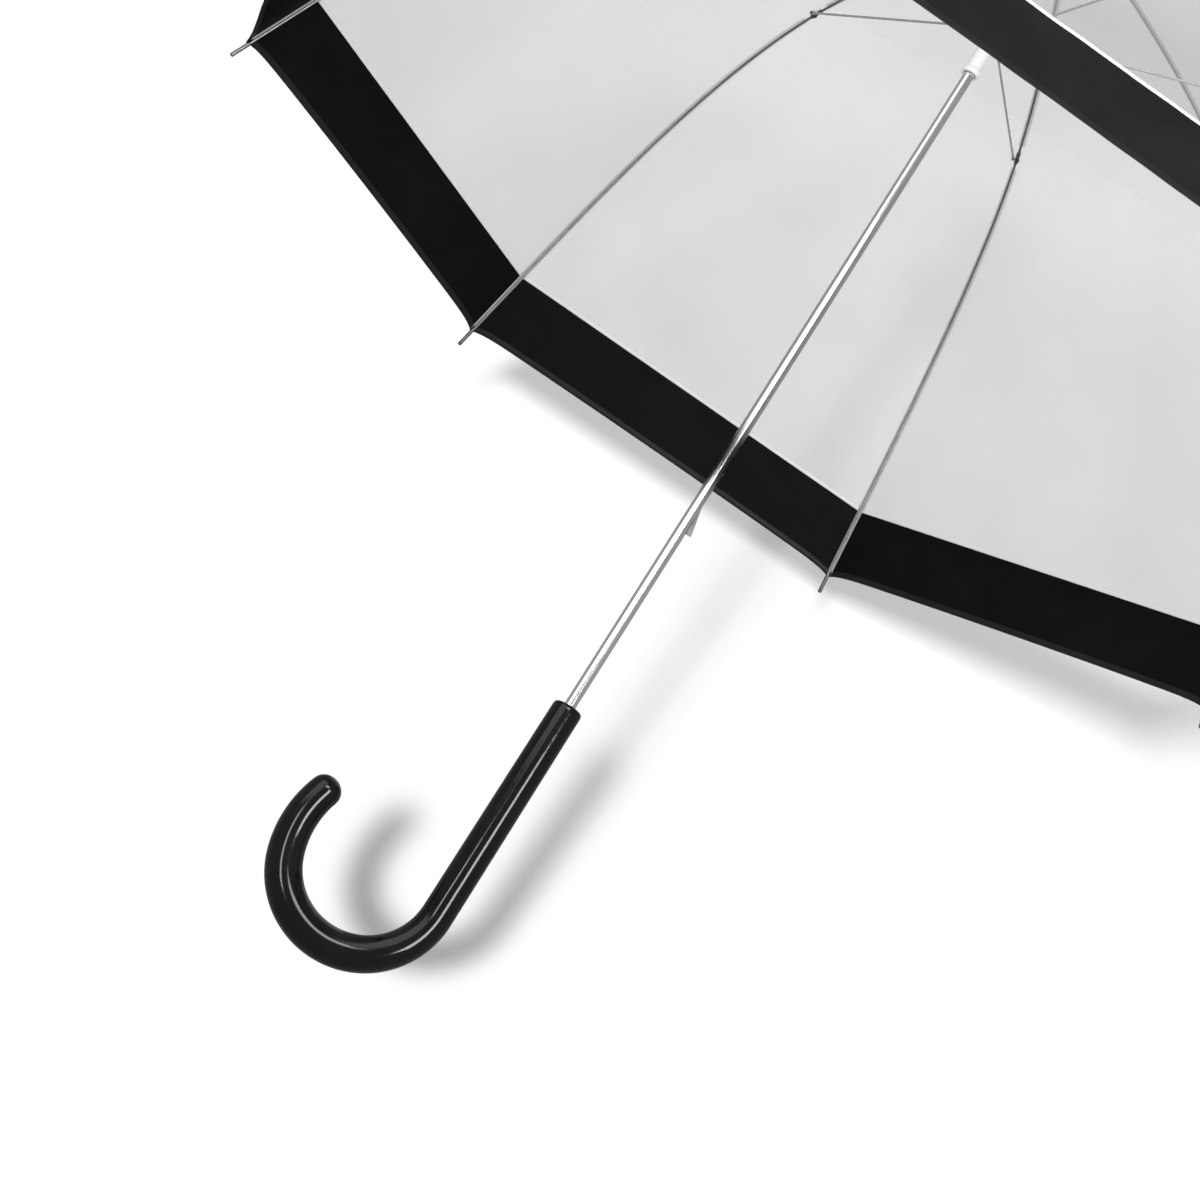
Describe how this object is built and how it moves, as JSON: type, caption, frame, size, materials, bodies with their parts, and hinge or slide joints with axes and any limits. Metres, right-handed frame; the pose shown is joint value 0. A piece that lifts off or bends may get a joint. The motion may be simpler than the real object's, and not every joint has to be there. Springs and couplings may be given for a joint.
{
  "type": "dome stick umbrella",
  "caption": "Clear dome umbrella with a dark border, folding wire ribs on a chromed tube, a sliding runner with spring catches, and a glossy crook handle.",
  "frame": {"origin": "on the shaft's axis, in the middle of the straight grip", "axes": "+Z along the shaft towards the tip, -X the way the crook points"},
  "size_m": [0.8634, 0.8634, 0.9096],
  "materials": {
    "clear_film": "clear, slightly milky soft film",
    "border_film": "dark soft film, satin",
    "steel_wire": "zinc-plated drawn wire",
    "spring_steel": "blued spring strip",
    "chrome_tube": "bright chromed tube",
    "white_plastic": "moulded, semi-gloss",
    "black_gloss": "high-gloss lacquered plastic"
  },
  "bodies": {
    "shaft": {"shaft_tube": "chrome_tube", "crook_handle": "black_gloss", "ferrule": "black_gloss", "canopy_washer": "black_gloss", "top_notch": "white_plastic", "notch_wire": "steel_wire", "notch_pin": "steel_wire", "runner_stop_pin": "steel_wire"},
    "runner": {"runner": "white_plastic", "runner_wire": "steel_wire"},
    "top_catch": {"top_catch": "spring_steel"},
    "bottom_catch": {"bottom_catch": "spring_steel"},
    "rib_upper_1": {"rib_upper_1": "steel_wire"},
    "rib_lower_1": {"rib_lower_1": "steel_wire"},
    "stretcher_1": {"stretcher_1": "steel_wire"},
    "rib_upper_2": {"rib_upper_2": "steel_wire"},
    "rib_lower_2": {"rib_lower_2": "steel_wire"},
    "stretcher_2": {"stretcher_2": "steel_wire"},
    "rib_upper_3": {"rib_upper_3": "steel_wire"},
    "rib_lower_3": {"rib_lower_3": "steel_wire"},
    "stretcher_3": {"stretcher_3": "steel_wire"},
    "rib_upper_4": {"rib_upper_4": "steel_wire"},
    "rib_lower_4": {"rib_lower_4": "steel_wire"},
    "stretcher_4": {"stretcher_4": "steel_wire"},
    "rib_upper_5": {"rib_upper_5": "steel_wire"},
    "rib_lower_5": {"rib_lower_5": "steel_wire"},
    "stretcher_5": {"stretcher_5": "steel_wire"},
    "rib_upper_6": {"rib_upper_6": "steel_wire"},
    "rib_lower_6": {"rib_lower_6": "steel_wire"},
    "stretcher_6": {"stretcher_6": "steel_wire"},
    "rib_upper_7": {"rib_upper_7": "steel_wire"},
    "rib_lower_7": {"rib_lower_7": "steel_wire"},
    "stretcher_7": {"stretcher_7": "steel_wire"},
    "rib_upper_8": {"rib_upper_8": "steel_wire"},
    "rib_lower_8": {"rib_lower_8": "steel_wire"},
    "stretcher_8": {"stretcher_8": "steel_wire"},
    "canopy_top_1": {"gore_top_1": "clear_film"},
    "canopy_side_1": {"gore_side_1": "clear_film", "border_1": "border_film"},
    "canopy_top_2": {"gore_top_2": "clear_film"},
    "canopy_side_2": {"gore_side_2": "clear_film", "border_2": "border_film"},
    "canopy_top_3": {"gore_top_3": "clear_film"},
    "canopy_side_3": {"gore_side_3": "clear_film", "border_3": "border_film"},
    "canopy_top_4": {"gore_top_4": "clear_film"},
    "canopy_side_4": {"gore_side_4": "clear_film", "border_4": "border_film"},
    "canopy_top_5": {"gore_top_5": "clear_film"},
    "canopy_side_5": {"gore_side_5": "clear_film", "border_5": "border_film"},
    "canopy_top_6": {"gore_top_6": "clear_film"},
    "canopy_side_6": {"gore_side_6": "clear_film", "border_6": "border_film"},
    "canopy_top_7": {"gore_top_7": "clear_film"},
    "canopy_side_7": {"gore_side_7": "clear_film", "border_7": "border_film"},
    "canopy_top_8": {"gore_top_8": "clear_film"},
    "canopy_side_8": {"gore_side_8": "clear_film", "border_8": "border_film"}
  },
  "joints": [
    {"name": "runner_slide", "type": "slide", "parent": "shaft", "child": "runner", "axis": [0, 0, -1], "range_m": [0, 0.3756], "deforming": ["gore_top_1", "gore_top_2", "gore_top_3", "gore_top_4", "gore_top_5", "gore_top_6", "gore_top_7", "gore_top_8", "gore_side_1", "gore_side_2", "gore_side_3", "gore_side_4", "gore_side_5", "gore_side_6", "gore_side_7", "gore_side_8", "border_1", "border_2", "border_3", "border_4", "border_5", "border_6", "border_7", "border_8", "top_catch", "bottom_catch"]},
    {"name": "top_catch_press", "type": "hinge", "parent": "shaft", "child": "top_catch", "pos_m": [0, -0.0019, 0.5301], "axis": [1, 0, 0], "range_deg": [0, 4.7], "stiffness_Nm_per_rad": 0.8, "springref_deg": -6.88},
    {"name": "bottom_catch_press", "type": "hinge", "parent": "shaft", "child": "bottom_catch", "pos_m": [-0.0019, 0, 0.2565], "axis": [0, 1, 0], "range_deg": [0, 4.7], "stiffness_Nm_per_rad": 0.8, "springref_deg": -6.88},
    {"name": "rib_upper_1_fold", "type": "hinge", "parent": "shaft", "child": "rib_upper_1", "pos_m": [0.00779, 0.0045, 0.7185], "axis": [-0.5, 0.866, 0], "range_deg": [0, 74.08]},
    {"name": "rib_lower_1_fold", "type": "hinge", "parent": "rib_upper_1", "child": "rib_lower_1", "pos_m": [0.20932, 0.12085, 0.6635], "axis": [-0.5, 0.866, 0], "range_deg": [-42.17, 0]},
    {"name": "stretcher_1_fold", "type": "hinge", "parent": "runner", "child": "stretcher_1", "pos_m": [0.00779, 0.0045, 0.6185], "axis": [-0.5, 0.866, 0], "range_deg": [-76.41, 0]},
    {"name": "rib_upper_2_fold", "type": "hinge", "parent": "shaft", "child": "rib_upper_2", "pos_m": [0.00233, 0.00869, 0.7185], "axis": [-0.9659, 0.2588, 0], "range_deg": [0, 74.08]},
    {"name": "rib_lower_2_fold", "type": "hinge", "parent": "rib_upper_2", "child": "rib_lower_2", "pos_m": [0.06256, 0.23346, 0.6635], "axis": [-0.9659, 0.2588, 0], "range_deg": [-42.17, 0]},
    {"name": "stretcher_2_fold", "type": "hinge", "parent": "runner", "child": "stretcher_2", "pos_m": [0.00233, 0.00869, 0.6185], "axis": [-0.9659, 0.2588, 0], "range_deg": [-76.41, 0]},
    {"name": "rib_upper_3_fold", "type": "hinge", "parent": "shaft", "child": "rib_upper_3", "pos_m": [-0.0045, 0.00779, 0.7185], "axis": [-0.866, -0.5, 0], "range_deg": [0, 74.08]},
    {"name": "rib_lower_3_fold", "type": "hinge", "parent": "rib_upper_3", "child": "rib_lower_3", "pos_m": [-0.12085, 0.20932, 0.6635], "axis": [-0.866, -0.5, 0], "range_deg": [-42.17, 0]},
    {"name": "stretcher_3_fold", "type": "hinge", "parent": "runner", "child": "stretcher_3", "pos_m": [-0.0045, 0.00779, 0.6185], "axis": [-0.866, -0.5, 0], "range_deg": [-76.41, 0]},
    {"name": "rib_upper_4_fold", "type": "hinge", "parent": "shaft", "child": "rib_upper_4", "pos_m": [-0.00869, 0.00233, 0.7185], "axis": [-0.2588, -0.9659, 0], "range_deg": [0, 74.08]},
    {"name": "rib_lower_4_fold", "type": "hinge", "parent": "rib_upper_4", "child": "rib_lower_4", "pos_m": [-0.23346, 0.06256, 0.6635], "axis": [-0.2588, -0.9659, 0], "range_deg": [-42.17, 0]},
    {"name": "stretcher_4_fold", "type": "hinge", "parent": "runner", "child": "stretcher_4", "pos_m": [-0.00869, 0.00233, 0.6185], "axis": [-0.2588, -0.9659, 0], "range_deg": [-76.41, 0]},
    {"name": "rib_upper_5_fold", "type": "hinge", "parent": "shaft", "child": "rib_upper_5", "pos_m": [-0.00779, -0.0045, 0.7185], "axis": [0.5, -0.866, 0], "range_deg": [0, 74.08]},
    {"name": "rib_lower_5_fold", "type": "hinge", "parent": "rib_upper_5", "child": "rib_lower_5", "pos_m": [-0.20932, -0.12085, 0.6635], "axis": [0.5, -0.866, 0], "range_deg": [-42.17, 0]},
    {"name": "stretcher_5_fold", "type": "hinge", "parent": "runner", "child": "stretcher_5", "pos_m": [-0.00779, -0.0045, 0.6185], "axis": [0.5, -0.866, 0], "range_deg": [-76.41, 0]},
    {"name": "rib_upper_6_fold", "type": "hinge", "parent": "shaft", "child": "rib_upper_6", "pos_m": [-0.00233, -0.00869, 0.7185], "axis": [0.9659, -0.2588, 0], "range_deg": [0, 74.08]},
    {"name": "rib_lower_6_fold", "type": "hinge", "parent": "rib_upper_6", "child": "rib_lower_6", "pos_m": [-0.06256, -0.23346, 0.6635], "axis": [0.9659, -0.2588, 0], "range_deg": [-42.17, 0]},
    {"name": "stretcher_6_fold", "type": "hinge", "parent": "runner", "child": "stretcher_6", "pos_m": [-0.00233, -0.00869, 0.6185], "axis": [0.9659, -0.2588, 0], "range_deg": [-76.41, 0]},
    {"name": "rib_upper_7_fold", "type": "hinge", "parent": "shaft", "child": "rib_upper_7", "pos_m": [0.0045, -0.00779, 0.7185], "axis": [0.866, 0.5, 0], "range_deg": [0, 74.08]},
    {"name": "rib_lower_7_fold", "type": "hinge", "parent": "rib_upper_7", "child": "rib_lower_7", "pos_m": [0.12085, -0.20932, 0.6635], "axis": [0.866, 0.5, 0], "range_deg": [-42.17, 0]},
    {"name": "stretcher_7_fold", "type": "hinge", "parent": "runner", "child": "stretcher_7", "pos_m": [0.0045, -0.00779, 0.6185], "axis": [0.866, 0.5, 0], "range_deg": [-76.41, 0]},
    {"name": "rib_upper_8_fold", "type": "hinge", "parent": "shaft", "child": "rib_upper_8", "pos_m": [0.00869, -0.00233, 0.7185], "axis": [0.2588, 0.9659, 0], "range_deg": [0, 74.08]},
    {"name": "rib_lower_8_fold", "type": "hinge", "parent": "rib_upper_8", "child": "rib_lower_8", "pos_m": [0.23346, -0.06256, 0.6635], "axis": [0.2588, 0.9659, 0], "range_deg": [-42.17, 0]},
    {"name": "stretcher_8_fold", "type": "hinge", "parent": "runner", "child": "stretcher_8", "pos_m": [0.00869, -0.00233, 0.6185], "axis": [0.2588, 0.9659, 0], "range_deg": [-76.41, 0]},
    {"name": "canopy_top_1_fold", "type": "hinge", "parent": "shaft", "child": "canopy_top_1", "pos_m": [0.00506, 0.0066, 0.7185], "axis": [-0.7934, 0.6088, 0], "range_deg": [0, 73.03]},
    {"name": "canopy_side_1_fold", "type": "hinge", "parent": "canopy_top_1", "child": "canopy_side_1", "pos_m": [0.13594, 0.17716, 0.6635], "axis": [-0.7934, 0.6088, 0], "range_deg": [-43.08, 0]},
    {"name": "canopy_top_2_fold", "type": "hinge", "parent": "shaft", "child": "canopy_top_2", "pos_m": [-0.00109, 0.00824, 0.7185], "axis": [-0.9914, -0.1305, 0], "range_deg": [0, 73.03]},
    {"name": "canopy_side_2_fold", "type": "hinge", "parent": "canopy_top_2", "child": "canopy_side_2", "pos_m": [-0.02915, 0.22139, 0.6635], "axis": [-0.9914, -0.1305, 0], "range_deg": [-43.08, 0]},
    {"name": "canopy_top_3_fold", "type": "hinge", "parent": "shaft", "child": "canopy_top_3", "pos_m": [-0.0066, 0.00506, 0.7185], "axis": [-0.6088, -0.7934, 0], "range_deg": [0, 73.03]},
    {"name": "canopy_side_3_fold", "type": "hinge", "parent": "canopy_top_3", "child": "canopy_side_3", "pos_m": [-0.17716, 0.13594, 0.6635], "axis": [-0.6088, -0.7934, 0], "range_deg": [-43.08, 0]},
    {"name": "canopy_top_4_fold", "type": "hinge", "parent": "shaft", "child": "canopy_top_4", "pos_m": [-0.00824, -0.00109, 0.7185], "axis": [0.1305, -0.9914, 0], "range_deg": [0, 73.03]},
    {"name": "canopy_side_4_fold", "type": "hinge", "parent": "canopy_top_4", "child": "canopy_side_4", "pos_m": [-0.22139, -0.02915, 0.6635], "axis": [0.1305, -0.9914, 0], "range_deg": [-43.08, 0]},
    {"name": "canopy_top_5_fold", "type": "hinge", "parent": "shaft", "child": "canopy_top_5", "pos_m": [-0.00506, -0.0066, 0.7185], "axis": [0.7934, -0.6088, 0], "range_deg": [0, 73.03]},
    {"name": "canopy_side_5_fold", "type": "hinge", "parent": "canopy_top_5", "child": "canopy_side_5", "pos_m": [-0.13594, -0.17716, 0.6635], "axis": [0.7934, -0.6088, 0], "range_deg": [-43.08, 0]},
    {"name": "canopy_top_6_fold", "type": "hinge", "parent": "shaft", "child": "canopy_top_6", "pos_m": [0.00109, -0.00824, 0.7185], "axis": [0.9914, 0.1305, 0], "range_deg": [0, 73.03]},
    {"name": "canopy_side_6_fold", "type": "hinge", "parent": "canopy_top_6", "child": "canopy_side_6", "pos_m": [0.02915, -0.22139, 0.6635], "axis": [0.9914, 0.1305, 0], "range_deg": [-43.08, 0]},
    {"name": "canopy_top_7_fold", "type": "hinge", "parent": "shaft", "child": "canopy_top_7", "pos_m": [0.0066, -0.00506, 0.7185], "axis": [0.6088, 0.7934, 0], "range_deg": [0, 73.03]},
    {"name": "canopy_side_7_fold", "type": "hinge", "parent": "canopy_top_7", "child": "canopy_side_7", "pos_m": [0.17716, -0.13594, 0.6635], "axis": [0.6088, 0.7934, 0], "range_deg": [-43.08, 0]},
    {"name": "canopy_top_8_fold", "type": "hinge", "parent": "shaft", "child": "canopy_top_8", "pos_m": [0.00824, 0.00109, 0.7185], "axis": [-0.1305, 0.9914, 0], "range_deg": [0, 73.03]},
    {"name": "canopy_side_8_fold", "type": "hinge", "parent": "canopy_top_8", "child": "canopy_side_8", "pos_m": [0.22139, 0.02915, 0.6635], "axis": [-0.1305, 0.9914, 0], "range_deg": [-43.08, 0]}
  ],
  "couplings": [
    {"joint": "rib_upper_1_fold", "follows": "runner_slide", "rad_per_m": 3.4416},
    {"joint": "rib_lower_1_fold", "follows": "runner_slide", "rad_per_m": -1.959},
    {"joint": "stretcher_1_fold", "follows": "runner_slide", "rad_per_m": -3.5499},
    {"joint": "rib_upper_2_fold", "follows": "runner_slide", "rad_per_m": 3.4416},
    {"joint": "rib_lower_2_fold", "follows": "runner_slide", "rad_per_m": -1.959},
    {"joint": "stretcher_2_fold", "follows": "runner_slide", "rad_per_m": -3.5499},
    {"joint": "rib_upper_3_fold", "follows": "runner_slide", "rad_per_m": 3.4416},
    {"joint": "rib_lower_3_fold", "follows": "runner_slide", "rad_per_m": -1.959},
    {"joint": "stretcher_3_fold", "follows": "runner_slide", "rad_per_m": -3.5499},
    {"joint": "rib_upper_4_fold", "follows": "runner_slide", "rad_per_m": 3.4416},
    {"joint": "rib_lower_4_fold", "follows": "runner_slide", "rad_per_m": -1.959},
    {"joint": "stretcher_4_fold", "follows": "runner_slide", "rad_per_m": -3.5499},
    {"joint": "rib_upper_5_fold", "follows": "runner_slide", "rad_per_m": 3.4416},
    {"joint": "rib_lower_5_fold", "follows": "runner_slide", "rad_per_m": -1.959},
    {"joint": "stretcher_5_fold", "follows": "runner_slide", "rad_per_m": -3.5499},
    {"joint": "rib_upper_6_fold", "follows": "runner_slide", "rad_per_m": 3.4416},
    {"joint": "rib_lower_6_fold", "follows": "runner_slide", "rad_per_m": -1.959},
    {"joint": "stretcher_6_fold", "follows": "runner_slide", "rad_per_m": -3.5499},
    {"joint": "rib_upper_7_fold", "follows": "runner_slide", "rad_per_m": 3.4416},
    {"joint": "rib_lower_7_fold", "follows": "runner_slide", "rad_per_m": -1.959},
    {"joint": "stretcher_7_fold", "follows": "runner_slide", "rad_per_m": -3.5499},
    {"joint": "rib_upper_8_fold", "follows": "runner_slide", "rad_per_m": 3.4416},
    {"joint": "rib_lower_8_fold", "follows": "runner_slide", "rad_per_m": -1.959},
    {"joint": "stretcher_8_fold", "follows": "runner_slide", "rad_per_m": -3.5499},
    {"joint": "canopy_top_1_fold", "follows": "runner_slide", "rad_per_m": 3.3933},
    {"joint": "canopy_side_1_fold", "follows": "runner_slide", "rad_per_m": -2.0014},
    {"joint": "canopy_top_2_fold", "follows": "runner_slide", "rad_per_m": 3.3933},
    {"joint": "canopy_side_2_fold", "follows": "runner_slide", "rad_per_m": -2.0014},
    {"joint": "canopy_top_3_fold", "follows": "runner_slide", "rad_per_m": 3.3933},
    {"joint": "canopy_side_3_fold", "follows": "runner_slide", "rad_per_m": -2.0014},
    {"joint": "canopy_top_4_fold", "follows": "runner_slide", "rad_per_m": 3.3933},
    {"joint": "canopy_side_4_fold", "follows": "runner_slide", "rad_per_m": -2.0014},
    {"joint": "canopy_top_5_fold", "follows": "runner_slide", "rad_per_m": 3.3933},
    {"joint": "canopy_side_5_fold", "follows": "runner_slide", "rad_per_m": -2.0014},
    {"joint": "canopy_top_6_fold", "follows": "runner_slide", "rad_per_m": 3.3933},
    {"joint": "canopy_side_6_fold", "follows": "runner_slide", "rad_per_m": -2.0014},
    {"joint": "canopy_top_7_fold", "follows": "runner_slide", "rad_per_m": 3.3933},
    {"joint": "canopy_side_7_fold", "follows": "runner_slide", "rad_per_m": -2.0014},
    {"joint": "canopy_top_8_fold", "follows": "runner_slide", "rad_per_m": 3.3933},
    {"joint": "canopy_side_8_fold", "follows": "runner_slide", "rad_per_m": -2.0014}
  ]
}
